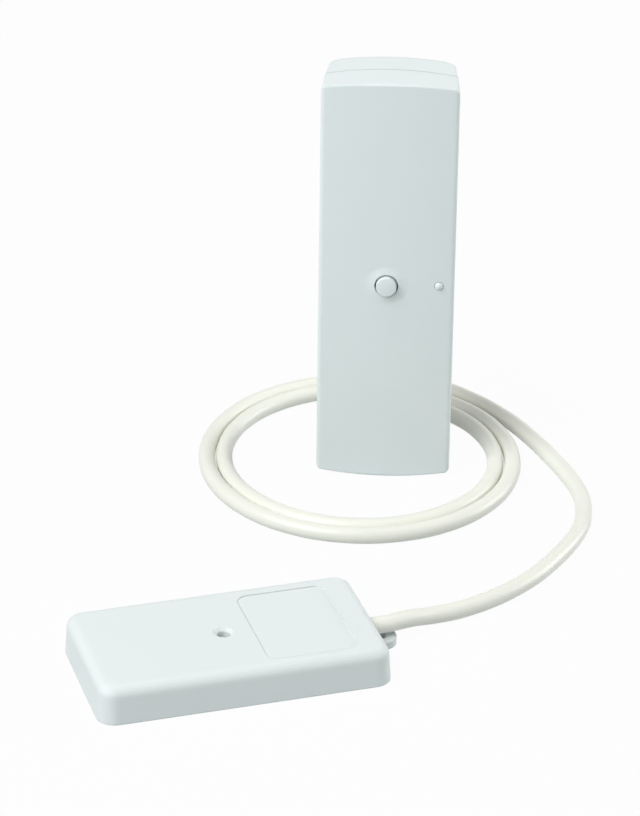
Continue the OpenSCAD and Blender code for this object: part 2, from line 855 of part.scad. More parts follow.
module probe_section(reach) {
    edge = probe_edge(reach);
    far_edge = [for (i = [corner_steps : -1 : 0]) [-edge[i][0], edge[i][1]]];
    polygon(concat([[reach, 0]], edge, far_edge, [[-reach, 0]]));
}

function corner_turn(x, y) = y > 0 ? (x > 0 ? 0 : 90) : (x > 0 ? 270 : 180);

module probe_form() {
    straight_l = probe_l - 2 * probe_r;
    straight_w = probe_w - 2 * probe_r;
    translate([-straight_l / 2, 0, 0]) rotate([90, 0, 90])
        linear_extrude(straight_l) probe_section(probe_w / 2);
    translate([0, straight_w / 2, 0]) rotate([90, 0, 0])
        linear_extrude(straight_w) probe_section(probe_l / 2);
    for (x = [-1, 1], y = [-1, 1])
        translate([x * straight_l / 2, y * straight_w / 2, 0]) rotate([0, 0, corner_turn(x, y)])
            rotate_extrude(angle = 90)
                polygon(concat([[0, 0], [probe_r, 0]], probe_edge(probe_r), [[0, probe_h]]));
}

module probe_prism(inset, z0, z1) {
    translate([0, 0, z0]) linear_extrude(z1 - z0)
        rounded_rectangle([probe_l - 2 * inset, probe_w - 2 * inset], max(probe_r - inset, 1));
}

module at_screws() {
    for (x = [-1, 1], y = [-1, 1])
        translate([x * (probe_l / 2 - screw_inset), y * (probe_w / 2 - screw_inset), 0]) children();
}

module at_contacts() {
    for (x = [-1, 1]) translate([probe_hole_at[0] + x * contact_pitch / 2, 0, 0]) children();
}

module probe_cover() {
    ceiling_z = probe_h - probe_wall;
    sink_h = (probe_sink_d - probe_bore_d) / 2;
    color("white") in_probe() difference() {
        union() {
            difference() {
                probe_form();
                probe_prism(probe_wall, -over, ledge_z);
                probe_prism(ledge_w, -over, ceiling_z);
            }
            at_screws() cylinder_between(ledge_z, ceiling_z + probe_wall / 2, screw_boss_d);
            translate(probe_hole_at)
                cylinder_between(plate_t + slip, ceiling_z + probe_wall / 2, probe_boss_d);
        }
        at_screws() cylinder_between(-over, screw_l + screw_room, screw_d + slip);
        translate(probe_hole_at) {
            cylinder_between(-over, probe_h + over, probe_bore_d);
            translate([0, 0, probe_h - sink_h])
                cylinder(d1 = probe_bore_d, d2 = probe_sink_d + 2 * join, h = sink_h + join);
        }
        translate([label_at[0], label_at[1], probe_h - label_depth])
            linear_extrude(over) rounded_rectangle(label_size, label_r);
        translate([probe_l / 2 - ledge_w - over, 0, cable_probe_z]) rotate([0, 90, 0])
            cylinder(d = cable_d + 2 * slip, h = ledge_w + 2 * over);
        box_between(
            [probe_l / 2 - ledge_w, -tongue_w / 2 - slip, -over],
            [probe_l / 2 + over, tongue_w / 2 + slip, plate_t + slip]
        );
    }
}

module probe_base() {
    tongue_end = probe_l / 2 + tongue_l;
    color("whitesmoke") in_probe() difference() {
        union() {
            probe_prism(probe_wall + slip, 0, plate_t);
            linear_extrude(plate_t) {
                translate([0, -tongue_w / 2]) square([tongue_end - tongue_w / 2, tongue_w]);
                translate([tongue_end - tongue_w / 2, 0]) circle(d = tongue_w);
            }
        }
        translate([tongue_end - tongue_w / 2, 0, 0]) cylinder_between(-over, plate_t + over, tongue_hole_d);
        translate(probe_hole_at) cylinder_between(-over, plate_t + over, probe_bore_d);
        at_contacts() {
            cylinder_between(-over, plate_t + over, contact_d + slip);
            cylinder_between(-over, contact_recess, contact_head_d + 2 * slip);
            box_between([-channel_w / 2, -probe_w, -over], [channel_w / 2, probe_w, channel_h]);
        }
        at_screws() {
            cylinder_between(-over, plate_t + over, screw_d + 2 * slip);
            translate([0, 0, -screw_sink]) cylinder(
                d1 = screw_head_d + 4 * slip,
                d2 = screw_d + 2 * slip,
                h = screw_head_h + 2 * screw_sink + slip
            );
        }
    }
}

module probe_gasket() {
    color("dimgray") in_probe() difference() {
        probe_prism(probe_wall + 2 * slip, plate_t, ledge_z);
        probe_prism(probe_wall + 2 * slip + gasket_w, plate_t - over, ledge_z + over);
    }
}

module sensor_contacts() {
    color("silver") in_probe() at_contacts() {
        cylinder_between(contact_recess - contact_head_t, contact_recess, contact_head_d);
        cylinder_between(
            contact_recess - contact_head_t,
            plate_t + tag_t + contact_nut_t + contact_end,
            contact_d
        );
    }
}

module cylinder_between(z0, z1, d) {
    translate([0, 0, z0]) cylinder(d = d, h = z1 - z0);
}

module contact_tags() {
    color("khaki") in_probe() at_contacts() difference() {
        union() {
            cylinder_between(plate_t, plate_t + tag_t, tag_d);
            translate([0, -tag_arm[1] / 2, plate_t]) cube([tag_d / 2 + tag_arm[0], tag_arm[1], tag_t]);
        }
        cylinder_between(plate_t - over, plate_t + tag_t + over, contact_d + slip);
    }
}

module contact_nuts() {
    color("silver") in_probe() at_contacts() translate([0, 0, plate_t + tag_t]) difference() {
        cylinder(d = contact_nut_af / cos(30), h = contact_nut_t, $fn = 6);
        cylinder_between(-over, contact_nut_t + over, contact_d + slip);
    }
}

// Stripped end of the cable inside the probe: the sheath through the end wall, then two cores
module probe_leads() {
    end_x = probe_l / 2;
    sheath_x = end_x - stub_l;
    lead_z = plate_t + tag_t + core_d / 2;
    over_z = plate_t + contact_nut_t;
    core_swing = probe_w / 5;
    color("ivory") in_probe() {
        translate([sheath_x, 0, cable_probe_z]) rotate([0, 90, 0]) cylinder(d = cable_d, h = stub_l);
        for (side = [-1, 1]) {
            tag_x = probe_hole_at[0] + side * contact_pitch / 2 + tag_d / 2 + tag_arm[0] / 2;
            far_tag = [tag_x, 0, lead_z];
            out = [sheath_x - core_d, -side * core_d * 0.7, cable_probe_z];
            tube(
                with_straight_ends(smooth(side == 1 ? [
                    out + [core_d, 0, 0], out, (out + far_tag) / 2, far_tag
                ] : [
                    out + [core_d, 0, 0], out, [sheath_x - core_swing / 2, core_swing / 2, cable_probe_z],
                    [sheath_x - core_swing * 3 / 2, core_swing, (cable_probe_z + over_z) / 2],
                    [probe_hole_at[0], core_swing, over_z],
                    [probe_hole_at[0] - core_swing, core_swing / 2, lead_z + core_d / 3],
                    far_tag + [core_d, core_d / 2, 0], far_tag
                ], 3)),
                core_d,
                core_sides
            );
        }
    }
}

module strain_relief_ring() {
    x = probe_l / 2 - ledge_w - slip - ring_w;
    color("black") in_probe() translate([x, 0, cable_probe_z]) rotate([0, 90, 0]) difference() {
        cylinder(d = cable_d + 2 * ring_t, h = ring_w);
        cylinder_between(-over, ring_w + over, cable_d + slip);
    }
}

module probe_screws() {
    color("silver") in_probe() at_screws() difference() {
        union() {
            translate([0, 0, screw_sink]) cylinder(d1 = screw_head_d, d2 = screw_d, h = screw_head_h);
            cylinder_between(screw_sink, screw_l, screw_d);
        }
        for (turn = [0, 90]) rotate([0, 0, turn])
            cube([screw_head_d * 0.6, screw_slot, screw_head_h], center = true);
    }
}

rear_base();
front_cover();
test_button();
light_pipe();
circuit_board();
button_switch();
switch_plunger();
status_led();
controller_chip();
crystal();
antenna();
battery();
battery_contact_positive();
battery_contact_negative();
terminal_block();
terminal_screws();
board_screws();
cable_grommet();
transmitter_leads();
cable_lead();
cable_coil();
cable_tail();
probe_cover();
probe_base();
probe_gasket();
sensor_contacts();
contact_tags();
contact_nuts();
probe_leads();
strain_relief_ring();
probe_screws();
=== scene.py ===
"""Looks of a wireless water leak sensor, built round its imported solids.

Lengths in the tables are in millimetres, except where a comment says metres.
"""

import math

import bmesh
import bpy
from mathutils import Matrix, Vector


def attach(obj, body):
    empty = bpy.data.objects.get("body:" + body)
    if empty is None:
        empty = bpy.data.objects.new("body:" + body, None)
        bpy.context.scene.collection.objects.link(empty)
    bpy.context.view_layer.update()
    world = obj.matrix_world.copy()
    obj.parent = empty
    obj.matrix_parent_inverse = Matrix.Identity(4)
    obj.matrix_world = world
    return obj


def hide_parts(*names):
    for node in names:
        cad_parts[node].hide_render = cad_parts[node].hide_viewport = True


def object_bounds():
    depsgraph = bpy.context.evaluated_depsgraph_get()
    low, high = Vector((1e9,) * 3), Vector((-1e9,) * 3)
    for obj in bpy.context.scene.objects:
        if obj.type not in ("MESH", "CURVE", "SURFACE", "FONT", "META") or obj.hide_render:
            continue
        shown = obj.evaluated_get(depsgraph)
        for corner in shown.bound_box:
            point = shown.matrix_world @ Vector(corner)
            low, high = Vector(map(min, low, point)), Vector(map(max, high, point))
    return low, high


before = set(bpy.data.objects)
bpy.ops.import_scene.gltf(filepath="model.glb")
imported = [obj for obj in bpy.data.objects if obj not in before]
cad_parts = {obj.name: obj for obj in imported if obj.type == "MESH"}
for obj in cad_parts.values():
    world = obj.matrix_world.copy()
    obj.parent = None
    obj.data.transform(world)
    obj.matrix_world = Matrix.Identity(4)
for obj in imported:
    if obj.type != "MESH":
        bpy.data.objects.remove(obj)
CAD_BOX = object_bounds()

bl_info = {
    "name": "Water leak sensor",
    "version": (1, 0, 0),
    "blender": (4, 5, 0),
    "location": "View3D > Sidebar > Leak sensor",
    "description": "Dresses the solids of a wireless water leak sensor: case, probe and cable",
    "category": "Object",
}

MM = 0.001
WHITE = (1, 1, 1, 1)

# Where the two housings stand, as in the solids
TRANSMITTER_AT = Vector((29.4, 61.2, 0.0))
TRANSMITTER_TURN = math.radians(-2)
PROBE_AT = Vector((-7.7, -42.7, 0.0))
PROBE_TURN = math.radians(17.4)
PROBE_LENGTH = 71.0

# Test button, turned about its axis. Places along the axis count from the middle of the case to the wall.
# The flange is given by its two faces and its radius, the stem by its end and its radius
BUTTON_Z = 54.5
BUTTON_FRONT = -11.28
BUTTON_DOME = 0.15
BUTTON_RADIUS = 2.6
BUTTON_EDGE = 0.22
BUTTON_FLANGE = (-7.85, -6.85, 3.8)
BUTTON_STEM = (-1.68, 1.5)
BUTTON_SIDES = 72
DOME_STEPS = 8
EDGE_STEPS = 6
SHARP_ANGLE = math.radians(40)

# Route of the cable, as in the solids: out of the rear wall, a flat spiral on the floor, then on to the
# probe. The turns lie up to 0.4 mm closer than the solids do, so that they touch
CABLE_HOLE = Vector((-8.5, 9.8, 7.0))
CABLE_EXIT = TRANSMITTER_AT + Matrix.Rotation(TRANSMITTER_TURN, 3, "Z") @ CABLE_HOLE
CABLE_FLOOR_Z = 2.15
CABLE_PROBE_Z = 4.75
LEAD_ROUTE = [(21.4, 75.5, 7), (21.7, 81, 6.4), (23.7, 86, 5), (28, 89.3, 3.4), (33, 90, 2.5)]
TAIL_ON_FLOOR = [
    (41, 99.4), (47.5, 95.8), (52.4, 91.6), (57.6, 86), (63.2, 78.4), (67.8, 70.2), (72, 61.2),
    (75.6, 52.4), (78.4, 44), (79.7, 37), (79.8, 30.6), (78.8, 23), (76.2, 15.6), (72.2, 7.4),
    (66.6, -1.8), (60.4, -9.2), (54, -15), (47.4, -19.4),
]
TAIL_RISE = [(41, -23.2, 2.8), (35.6, -27.2, 4.2)]
TAIL_ROUTE = [(x, y, CABLE_FLOOR_Z) for x, y in TAIL_ON_FLOOR] + TAIL_RISE
PROBE_STUB = 4.3
COIL_MID = Vector((24.3, 57.6, 0.0))
COIL_RADIUS = 33.3
COIL_PITCH = 4.45
COIL_STRETCH = 1.04
COIL_START = 50
COIL_SWEEP = 675
COIL_STEP = 15
COIL_FINE_STEP = 3
CURVE_STEPS = 6
SHEATH_ROUNDNESS = 10

# Radii to which the moulded edges of the case and the probe are rounded in their shading
CASE_EDGE = 0.6
PROBE_EDGE = 0.38
EDGE_SAMPLES = 6

# Patterns of the finishes. A wave is a size and a depth; the gloss goes between two shares of its value
DRIFT_SIZE = 18
DRIFT_DETAIL = 2.0
DRIFT_TINT = 0.03
SLOW_WAVE = (30, 0.05)
WAVE_DETAIL = 1.0
GRAIN_DETAIL = 3.0
PLASTIC_GLOSS = (0.9, 1.1)
SCUFF_DETAIL = 4.0
SCUFF_DEPTH = 0.002
METAL_GLOSS = (0.85, 1.15)

# Refractive indices, typical of each plastic
ABS_IOR = 1.54
EPOXY_IOR = 1.55
NYLON_IOR = 1.53
POLYCARBONATE_IOR = 1.585
PVC_IOR = 1.53
SILICONE_IOR = 1.41

# Camera, fitted to the straight edges of the photograph. It sees from 0.05 to 20 metres
CAMERA_AT = Vector((18.08, -826.71, 474.52))
CAMERA_PITCH = math.radians(27.386)
CAMERA_YAW = math.radians(-0.343)
CAMERA_ROLL = math.radians(-0.758)
CAMERA_LENS = 171.1
CAMERA_SENSOR = 36.0
CAMERA_NEAR = 0.05
CAMERA_FAR = 20.0

# Lamps: name, place in metres, watts, width in metres. They aim at a point, also in metres. The side lamp
# brightens the edges that turn from the key
LAMPS = [
    ("key", (-0.6, -0.52, 0.9), 13.0, 0.9),
    ("overhead", (0.1, 0.1, 1.3), 1.7, 0.8),
    ("side", (1.1, 0.36, 0.3), 7.4, 0.7),
]
LAMPS_AIM = Vector((0.01, 0.02, 0.05))
LAMP_COLOUR = (0.98, 1.0, 1.0)
WORLD_COLOUR = (0.97, 1.0, 1.0)
WORLD_STRENGTH = 0.24

# Floor: half its width in metres, its gap under the object, and how much of it is plain white to the eye
FLOOR_HALF = 3.0
FLOOR_GAP = 0.01
FLOOR_ROUGHNESS = 0.9
FLOOR_WHITE_SHARE = 0.965


def linear(hex_colour):
    """sRGB hex to linear red, green and blue."""
    parts = [int(hex_colour[i:i + 2], 16) / 255 for i in (1, 3, 5)]
    return tuple(c / 12.92 if c <= 0.04045 else ((c + 0.055) / 1.055) ** 2.4 for c in parts)


class LeakSensorHousing(bpy.types.PropertyGroup):
    """Finish of the case and the probe."""

    abs_colour: bpy.props.FloatVectorProperty(
        name="Case colour", description="Cool white of the moulded case", subtype="COLOR",
        default=linear("#e8efef"))
    abs_roughness: bpy.props.FloatProperty(
        name="Case roughness", description="Satin of the moulded case", subtype="FACTOR",
        default=0.4, min=0.3, max=0.8)
    probe_colour: bpy.props.FloatVectorProperty(
        name="Probe colour", description="White of the probe, a little greyer than the case",
        subtype="COLOR", default=linear("#e4e9e9"))
    probe_roughness: bpy.props.FloatProperty(
        name="Probe roughness", description="Matt finish of the probe", subtype="FACTOR",
        default=0.65, min=0.3, max=0.8)
    lens_colour: bpy.props.FloatVectorProperty(
        name="Lens colour", description="Milky lens over the lamp", subtype="COLOR",
        default=linear("#e4ecea"))


class LeakSensorCable(bpy.types.PropertyGroup):
    """Size and finish of the cable."""

    diameter: bpy.props.FloatProperty(
        name="Cable diameter", description="Outside of the round sheath", default=4.3 * MM,
        unit="LENGTH")
    lay: bpy.props.FloatProperty(
        name="Core lay", description="Length in which the twisted cores go round once",
        default=14 * MM, unit="LENGTH")
    ripple: bpy.props.FloatProperty(
        name="Ripple", description="Share by which the sheath sinks between the cores", default=0.012,
        subtype="FACTOR", min=0.0, max=0.03)
    pvc_colour: bpy.props.FloatVectorProperty(
        name="Cable colour", description="Warm white of the sheath", subtype="COLOR",
        default=linear("#f0efe5"))


class LeakSensorStage(bpy.types.PropertyGroup):
    """Colour of the floor under the object."""

    floor_colour: bpy.props.FloatVectorProperty(
        name="Floor colour", description="Pale grey that the floor throws back at the object",
        subtype="COLOR", default=linear("#bec4c4"))


def add(tree, kind, values=None, links=None, **settings):
    """Adds a node with its settings, the values of its inputs and the links into them."""
    node = tree.nodes.new(kind)
    for name, value in settings.items():
        setattr(node, name, value)
    for name, value in (values or {}).items():
        node.inputs[name].default_value = value
    for name, source in (links or {}).items():
        tree.links.new(source, node.inputs[name])
    return node


def new_material(name):
    """An empty material with its output and a Principled shader."""
    material = bpy.data.materials.new(name)
    material.use_nodes = True
    tree = material.node_tree
    tree.nodes.clear()
    shader = add(tree, "ShaderNodeBsdfPrincipled")
    add(tree, "ShaderNodeOutputMaterial", None, {"Surface": shader.outputs["BSDF"]})
    return material, tree, shader


def plastic(name, colour, roughness, ior, grain, wave=SLOW_WAVE, edge=0.0):
    """Plastic whose grain breaks up the gloss, whose slow waves bend it, and whose colour and gloss drift.

    Grain and wave are each a size and a depth in mm, and edge is the radius in mm with which sharp edges
    catch the light.
    """
    material, tree, shader = new_material(name)
    shader.inputs["IOR"].default_value = ior
    place = add(tree, "ShaderNodeTexCoord").outputs["Object"]
    drift = add(tree, "ShaderNodeTexNoise", {"Scale": 1 / (DRIFT_SIZE * MM), "Detail": DRIFT_DETAIL},
                {"Vector": place}).outputs["Fac"]
    dark = tuple(c * (1 - DRIFT_TINT) for c in colour)
    mix = add(tree, "ShaderNodeMix", {"A": (*dark, 1), "B": (*colour, 1)}, {"Factor": drift},
              data_type="RGBA")
    tree.links.new(mix.outputs["Result"], shader.inputs["Base Color"])
    low, high = PLASTIC_GLOSS
    gloss = add(tree, "ShaderNodeMapRange", {"To Min": roughness * low, "To Max": roughness * high},
                {"Value": drift})
    tree.links.new(gloss.outputs["Result"], shader.inputs["Roughness"])
    normal = None
    if edge:
        normal = add(tree, "ShaderNodeBevel", {"Radius": edge * MM},
                     samples=EDGE_SAMPLES).outputs["Normal"]
    for (size, depth), detail in ((wave, WAVE_DETAIL), (grain, GRAIN_DETAIL)):
        noise = add(tree, "ShaderNodeTexNoise", {"Scale": 1 / (size * MM), "Detail": detail},
                    {"Vector": place})
        links = {"Height": noise.outputs["Fac"]}
        if normal:
            links["Normal"] = normal
        normal = add(tree, "ShaderNodeBump", {"Distance": depth * MM}, links).outputs["Normal"]
    tree.links.new(normal, shader.inputs["Normal"])
    return material


def metal(name, colour, roughness, scuff):
    """Plated metal: fine scuffs, of a size in mm, vary the gloss and lift the surface a little."""
    material, tree, shader = new_material(name)
    shader.inputs["Base Color"].default_value = (*colour, 1)
    shader.inputs["Metallic"].default_value = 1.0
    place = add(tree, "ShaderNodeTexCoord").outputs["Object"]
    noise = add(tree, "ShaderNodeTexNoise", {"Scale": 1 / (scuff * MM), "Detail": SCUFF_DETAIL},
                {"Vector": place}).outputs["Fac"]
    low, high = METAL_GLOSS
    gloss = add(tree, "ShaderNodeMapRange", {"To Min": roughness * low, "To Max": roughness * high},
                {"Value": noise})
    tree.links.new(gloss.outputs["Result"], shader.inputs["Roughness"])
    bump = add(tree, "ShaderNodeBump", {"Distance": SCUFF_DEPTH * MM}, {"Height": noise})
    tree.links.new(bump.outputs["Normal"], shader.inputs["Normal"])
    return material


def case_plastic(wanted):
    """The white ABS of the case and its button, made once."""
    # ABS, moulded in a spark-eroded tool: satin, no sharp reflections, edges a little soft. The real grain
    # of about 0.1 mm is drawn at 0.3 mm, so that it shows
    return bpy.data.materials.get("satin ABS") or plastic(
        "satin ABS", wanted.abs_colour, roughness=wanted.abs_roughness, ior=ABS_IOR,
        grain=(0.3, 0.008), edge=CASE_EDGE)


def black_plastic(name):
    """A black moulding, in either housing."""
    # Nylon or epoxy, moulded black: dull, with a fine even grain
    return plastic(name, linear("#26262a"), roughness=0.5, ior=NYLON_IOR, grain=(0.3, 0.008))


def core_plastic(name):
    """The insulation of the cable's cores, in either housing."""
    # PVC, extruded thin: paler and finer than the sheath
    return plastic(name, linear("#efeee6"), roughness=0.36, ior=PVC_IOR, grain=(0.6, 0.004))


def tinned_metal(name):
    """Tinned brass, in either housing."""
    # Brass, tinned for solder: pale yellow-grey
    return metal(name, linear("#d8c692"), roughness=0.23, scuff=0.5)


def dress(material, *nodes):
    """Gives nodes of the frame one material."""
    for name in nodes:
        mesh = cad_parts[name].data
        mesh.materials.clear()
        mesh.materials.append(material)


def curve_point(a, b, c, d, t):
    """A point a share t of the way from b to c, on the smooth curve through a, b, c and d."""
    square, cube = 2 * a - 5 * b + 4 * c - d, 3 * b - a - 3 * c + d
    return 0.5 * (2 * b + (c - a) * t + square * t * t + cube * t ** 3)


def smooth(points, steps):
    """A curve through all the points, as the solids have it."""
    line = []
    last = len(points) - 1
    for i in range(last):
        a, b, c, d = points[max(i - 1, 0)], points[i], points[i + 1], points[min(i + 2, last)]
        line += [curve_point(a, b, c, d, k / steps) for k in range(steps)]
    return line + [points[last]]


def coil_point(degrees):
    """A point of the flat spiral, so many degrees from its start."""
    angle = math.radians(COIL_START - degrees)
    radius = COIL_RADIUS + COIL_PITCH * degrees / 360
    x, y = radius * math.cos(angle), COIL_STRETCH * radius * math.sin(angle)
    return COIL_MID + Vector((x, y, CABLE_FLOOR_Z))


def at_probe_end(run):
    """A point on the cable's way into the probe, so far outside its end."""
    x = PROBE_LENGTH / 2 + run
    return PROBE_AT + Vector((x * math.cos(PROBE_TURN), x * math.sin(PROBE_TURN), CABLE_PROBE_Z))


def cable_line():
    """The whole cable's centreline in metres, from the rear wall to the probe."""
    first, last = -COIL_STEP, COIL_SWEEP + COIL_STEP
    lead = smooth([Vector(p) for p in LEAD_ROUTE] + [coil_point(first)], CURVE_STEPS)
    coil = [coil_point(a) for a in range(first + COIL_FINE_STEP, last, COIL_FINE_STEP)]
    route = [coil_point(last)] + [Vector(p) for p in TAIL_ROUTE] + [at_probe_end(PROBE_STUB)]
    tail = smooth(route, CURVE_STEPS)
    return [p * MM for p in [CABLE_EXIT] + lead + coil + tail + [at_probe_end(0)]]


class OBJECT_OT_leak_sensor_cable(bpy.types.Operator):
    """Lays the round cable from the rear wall, in its flat turns, to the probe"""

    bl_idname = "object.leak_sensor_cable"
    bl_label = "Cable"

    def execute(self, context):
        wanted = context.scene.leak_sensor_cable
        line = cable_line()
        curve = bpy.data.curves.new("cable", "CURVE")
        curve.dimensions = "3D"
        curve.bevel_depth = wanted.diameter / 2
        curve.bevel_resolution = SHEATH_ROUNDNESS
        curve.use_fill_caps = True
        spline = curve.splines.new("POLY")
        spline.points.add(len(line) - 1)
        run = 0.0
        for i, place in enumerate(line):
            if i:
                run += (place - line[i - 1]).length
            sunk = 0.5 - 0.5 * math.cos(2 * math.pi * run / wanted.lay)
            spline.points[i].co = (*place, 1)
            spline.points[i].radius = 1 - wanted.ripple * sunk
        spline.use_smooth = True
        cable = bpy.data.objects.new("cable", curve)
        context.scene.collection.objects.link(cable)
        # Plasticised PVC, extruded over twisted cores: soft gloss that ripples along the cable. Its die
        # lines are far finer than a pixel, so the grain is drawn at 0.6 mm
        curve.materials.append(plastic("extruded PVC sheath", wanted.pvc_colour, roughness=0.33,
                                       ior=PVC_IOR, grain=(0.6, 0.002), wave=(8, 0.05)))
        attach(cable, "housing")
        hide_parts("cable_lead", "cable_coil", "cable_tail")
        return {"FINISHED"}


def button_profile():
    """Half outline of the button, front to back: place along its axis and radius."""
    shoulder = BUTTON_FRONT + BUTTON_DOME + BUTTON_EDGE
    flat = BUTTON_RADIUS - BUTTON_EDGE
    outline = [(BUTTON_FRONT + BUTTON_DOME * (k / DOME_STEPS) ** 2, flat * k / DOME_STEPS)
               for k in range(DOME_STEPS + 1)]
    for k in range(1, EDGE_STEPS + 1):
        angle = math.pi / 2 * k / EDGE_STEPS
        outline.append((shoulder - BUTTON_EDGE * math.cos(angle), flat + BUTTON_EDGE * math.sin(angle)))
    near, far, flange = BUTTON_FLANGE
    end, stem = BUTTON_STEM
    outline += [(near, BUTTON_RADIUS), (near, flange), (far, flange)]
    return outline + [(far, stem), (end, stem), (end, 0)]


def turned(name, outline, sides):
    """A closed mesh, in mm, with this half outline turned about the Y axis.

    The first and last radius are zero.
    """
    shape = bmesh.new()
    angles = [2 * math.pi * k / sides for k in range(sides)]
    rings = []
    for along, radius in outline:
        if radius:
            rings.append([shape.verts.new((radius * math.cos(a), along, radius * math.sin(a)))
                          for a in angles])
        else:
            rings.append([shape.verts.new((0, along, 0))] * sides)
    for a, b in zip(rings, rings[1:]):
        for k in range(sides):
            # At the axis two corners are one, so it counts once
            shape.faces.new(dict.fromkeys((a[k - 1], a[k], b[k], b[k - 1])))
    bmesh.ops.recalc_face_normals(shape, faces=shape.faces)
    mesh = bpy.data.meshes.new(name)
    shape.to_mesh(mesh)
    shape.free()
    mesh.shade_smooth()
    mesh.set_sharp_from_angle(angle=SHARP_ANGLE)
    return mesh


class OBJECT_OT_leak_sensor_button(bpy.types.Operator):
    """Turns the test button, with a crisper front edge than the solid's and one smooth dome"""

    bl_idname = "object.leak_sensor_button"
    bl_label = "Test button"

    def execute(self, context):
        mesh = turned("button_cap", button_profile(), BUTTON_SIDES)
        place = Matrix.Translation((TRANSMITTER_AT + Vector((0, 0, BUTTON_Z))) * MM)
        mesh.transform(place @ Matrix.Rotation(TRANSMITTER_TURN, 4, "Z") @ Matrix.Scale(MM, 4))
        mesh.materials.append(case_plastic(context.scene.leak_sensor_housing))
        cap = bpy.data.objects.new("button_cap", mesh)
        context.scene.collection.objects.link(cap)
        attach(cap, "button")
        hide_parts("test_button")
        return {"FINISHED"}


class OBJECT_OT_leak_sensor_housings(bpy.types.Operator):
    """Finishes the case, its lens and grommet, and the probe's shell"""

    bl_idname = "object.leak_sensor_housings"
    bl_label = "Housings"

    def execute(self, context):
        wanted = context.scene.leak_sensor_housing
        dress(case_plastic(wanted), "front_cover", "rear_base")
        # ABS, moulded in a coarser tool than the case's: matt, with edges that catch the light as a fine
        # line. Its grain is drawn as on the case
        dress(plastic("matt ABS", wanted.probe_colour, roughness=wanted.probe_roughness, ior=ABS_IOR,
                      grain=(0.3, 0.008), edge=PROBE_EDGE), "probe_cover", "probe_base")
        # Polycarbonate, moulded with a white diffuser: milky and smooth, with a soft highlight
        dress(plastic("milky polycarbonate", wanted.lens_colour, roughness=0.4, ior=POLYCARBONATE_IOR,
                      grain=(0.8, 0.002)), "light_pipe")
        # Plasticised PVC, moulded: duller than the sheath that it holds
        dress(plastic("soft PVC", linear("#ecece4"), roughness=0.55, ior=PVC_IOR, grain=(0.4, 0.01)),
              "cable_grommet")
        return {"FINISHED"}


class OBJECT_OT_leak_sensor_electronics(bpy.types.Operator):
    """Finishes the board and what sits on it inside the case"""

    bl_idname = "object.leak_sensor_electronics"
    bl_label = "Electronics"

    def execute(self, context):
        # Glass and epoxy under solder resist: even green, with the weave of the glass as a faint unevenness
        dress(plastic("solder resist on laminate", linear("#1f6b41"), roughness=0.36, ior=EPOXY_IOR,
                      grain=(0.6, 0.006)), "circuit_board")
        dress(black_plastic("black moulding"), "button_switch", "switch_plunger", "controller_chip")
        # Epoxy, cast clear with a yellowish tint: glassy
        dress(plastic("cast epoxy", linear("#efe9c8"), roughness=0.12, ior=EPOXY_IOR,
                      grain=(0.8, 0.002)), "status_led")
        # Nylon, moulded green: satin
        dress(plastic("green nylon", linear("#2f8f55"), roughness=0.4, ior=NYLON_IOR,
                      grain=(0.3, 0.006)), "terminal_block")
        # PVC film, shrunk over the can: blue and glossy, with slow folds
        dress(plastic("shrunk PVC film", linear("#3c5fa0"), roughness=0.32, ior=PVC_IOR,
                      grain=(0.8, 0.004), wave=(6, 0.05)), "battery")
        dress(core_plastic("PVC insulation"), "transmitter_leads")
        # Nickel, plated on steel: bright grey, scuffed by tools and by the cell's ends
        dress(metal("nickel plate", linear("#c8cacb"), roughness=0.22, scuff=0.5), "crystal",
              "terminal_screws", "board_screws", "battery_contact_positive", "battery_contact_negative")
        dress(tinned_metal("tinned brass"), "antenna")
        return {"FINISHED"}


class OBJECT_OT_leak_sensor_contacts(bpy.types.Operator):
    """Finishes the sensing contacts, the seal and the fixings of the probe"""

    bl_idname = "object.leak_sensor_contacts"
    bl_label = "Contacts"

    def execute(self, context):
        # Nickel, plated on brass heads and steel screws: bright, lightly scuffed by the floor
        dress(metal("scuffed nickel plate", linear("#c9cbcb"), roughness=0.22, scuff=0.4),
              "sensor_contacts", "contact_nuts", "probe_screws")
        dress(tinned_metal("tinned tag"), "contact_tags")
        # Silicone, moulded: dark and dull
        dress(plastic("silicone", linear("#303030"), roughness=0.6, ior=SILICONE_IOR,
                      grain=(0.4, 0.012)), "probe_gasket")
        dress(black_plastic("black nylon"), "strain_relief_ring")
        dress(core_plastic("core insulation"), "probe_leads")
        return {"FINISHED"}


def seen_directly(tree):
    """1 for what the eye sees, straight or in a reflection, and 0 for light that falls on the object."""
    path = add(tree, "ShaderNodeLightPath").outputs
    mirrored = add(tree, "ShaderNodeMath", None,
                   {0: path["Is Glossy Ray"], 1: path["Is Transmission Ray"]}, operation="MAXIMUM")
    seen = add(tree, "ShaderNodeMath", None,
               {0: path["Is Camera Ray"], 1: mirrored.outputs[0]}, operation="MAXIMUM")
    return seen.outputs[0]


